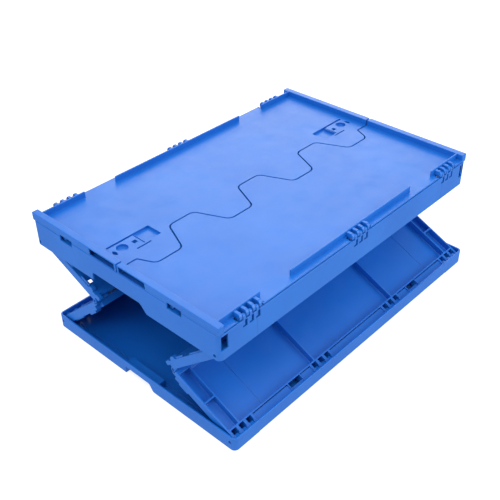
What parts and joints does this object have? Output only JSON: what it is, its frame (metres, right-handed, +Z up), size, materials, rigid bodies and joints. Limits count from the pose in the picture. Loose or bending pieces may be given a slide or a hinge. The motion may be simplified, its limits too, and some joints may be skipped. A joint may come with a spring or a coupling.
{
  "type": "folding storage crate",
  "caption": "Shallow-ribbed folding crate, half folded: base tray, four hinged long-side halves, top frame, two stored end walls and a two-part lid with an interlocking joint.",
  "frame": {"origin": "middle of the base's underside", "axes": "+X along the long sides, +Y towards the back (the lid half with the seal recesses), +Z up"},
  "size_m": [0.6, 0.4224, 0.2148],
  "materials": {
    "blue_plastic": "moulded polypropylene, satin, with a fine grain and a soft highlight",
    "rod_steel": "drawn steel wire rod, bright"
  },
  "bodies": {
    "base_tray": {"base_tray": "blue_plastic"},
    "back_base_rod": {"back_base_rod": "rod_steel"},
    "back_lower_wall": {"back_lower_wall": "blue_plastic"},
    "back_mid_rod": {"back_mid_rod": "rod_steel"},
    "back_upper_wall": {"back_upper_wall": "blue_plastic"},
    "front_base_rod": {"front_base_rod": "rod_steel"},
    "front_lower_wall": {"front_lower_wall": "blue_plastic"},
    "front_mid_rod": {"front_mid_rod": "rod_steel"},
    "front_upper_wall": {"front_upper_wall": "blue_plastic"},
    "back_frame_rod": {"back_frame_rod": "rod_steel"},
    "top_frame": {"top_frame": "blue_plastic", "front_frame_rod": "rod_steel", "left_end_rod": "rod_steel", "right_end_rod": "rod_steel", "front_lid_pin_1": "rod_steel", "front_lid_pin_2": "rod_steel", "front_lid_pin_3": "rod_steel", "back_lid_pin_1": "rod_steel", "back_lid_pin_2": "rod_steel", "back_lid_pin_3": "rod_steel"},
    "left_end_wall": {"left_end_wall": "blue_plastic"},
    "right_end_wall": {"right_end_wall": "blue_plastic"},
    "front_lid": {"front_lid": "blue_plastic"},
    "back_lid": {"back_lid": "blue_plastic"}
  },
  "joints": [
    {"name": "back_base_raise", "type": "hinge", "parent": "base_tray", "child": "back_base_rod", "pos_m": [0, 0.1905, 0.014], "axis": [-1, 0, 0], "range_deg": [0, 48.32]},
    {"name": "back_base_lower", "type": "hinge", "parent": "back_base_rod", "child": "back_lower_wall", "pos_m": [0, 0.1905, 0.014], "axis": [-1, 0, 0], "range_deg": [-40.05, 0]},
    {"name": "back_mid_raise", "type": "hinge", "parent": "back_lower_wall", "child": "back_mid_rod", "pos_m": [0, 0.09706, 0.10455], "axis": [1, 0, 0], "range_deg": [0, 113.65]},
    {"name": "back_mid_lower", "type": "hinge", "parent": "back_mid_rod", "child": "back_upper_wall", "pos_m": [0, 0.09706, 0.10455], "axis": [1, 0, 0], "range_deg": [-63.09, 0]},
    {"name": "back_frame_raise", "type": "hinge", "parent": "back_upper_wall", "child": "back_frame_rod", "pos_m": [0, 0.21289, 0.16382], "axis": [-1, 0, 0], "range_deg": [0, 65.32]},
    {"name": "back_frame_lower", "type": "hinge", "parent": "back_frame_rod", "child": "top_frame", "pos_m": [0, 0.21289, 0.16382], "axis": [-1, 0, 0], "range_deg": [-23.05, 0]},
    {"name": "front_base_raise", "type": "hinge", "parent": "base_tray", "child": "front_base_rod", "pos_m": [0, -0.1905, 0.014], "axis": [1, 0, 0], "range_deg": [0, 65.32]},
    {"name": "front_base_lower", "type": "hinge", "parent": "front_base_rod", "child": "front_lower_wall", "pos_m": [0, -0.1905, 0.014], "axis": [1, 0, 0], "range_deg": [-23.05, 0]},
    {"name": "front_mid_raise", "type": "hinge", "parent": "front_lower_wall", "child": "front_mid_rod", "pos_m": [0, -0.07467, 0.07327], "axis": [-1, 0, 0], "range_deg": [0, 113.65]},
    {"name": "front_mid_lower", "type": "hinge", "parent": "front_mid_rod", "child": "front_upper_wall", "pos_m": [0, -0.07467, 0.07327], "axis": [-1, 0, 0], "range_deg": [-63.09, 0]},
    {"name": "front_lid_hinge", "type": "hinge", "parent": "top_frame", "child": "front_lid", "pos_m": [0, -0.17421, 0.20532], "axis": [1, 0, 0], "range_deg": [0, 110]},
    {"name": "back_lid_hinge", "type": "hinge", "parent": "top_frame", "child": "back_lid", "pos_m": [0, 0.21899, 0.20532], "axis": [-1, 0, 0], "range_deg": [0, 110]},
    {"name": "left_end_hinge", "type": "hinge", "parent": "top_frame", "child": "left_end_wall", "pos_m": [-0.2895, 0.02239, 0.19282], "axis": [0, 1, 0], "range_deg": [0, 3]},
    {"name": "right_end_hinge", "type": "hinge", "parent": "top_frame", "child": "right_end_wall", "pos_m": [0.2895, 0.02239, 0.19282], "axis": [0, -1, 0], "range_deg": [0, 3]}
  ],
  "couplings": [
    {"joint": "back_mid_raise", "follows": "back_base_raise", "ratio": 2.3518},
    {"joint": "back_mid_lower", "follows": "back_base_lower", "ratio": 1.5755},
    {"joint": "back_frame_raise", "follows": "back_base_raise", "ratio": 1.3518},
    {"joint": "back_frame_lower", "follows": "back_base_lower", "ratio": 0.57548},
    {"joint": "front_base_raise", "follows": "back_base_raise", "ratio": 1.3518},
    {"joint": "front_base_lower", "follows": "back_base_lower", "ratio": 0.57548},
    {"joint": "front_mid_raise", "follows": "back_base_raise", "ratio": 2.3518},
    {"joint": "front_mid_lower", "follows": "back_base_lower", "ratio": 1.5755}
  ]
}
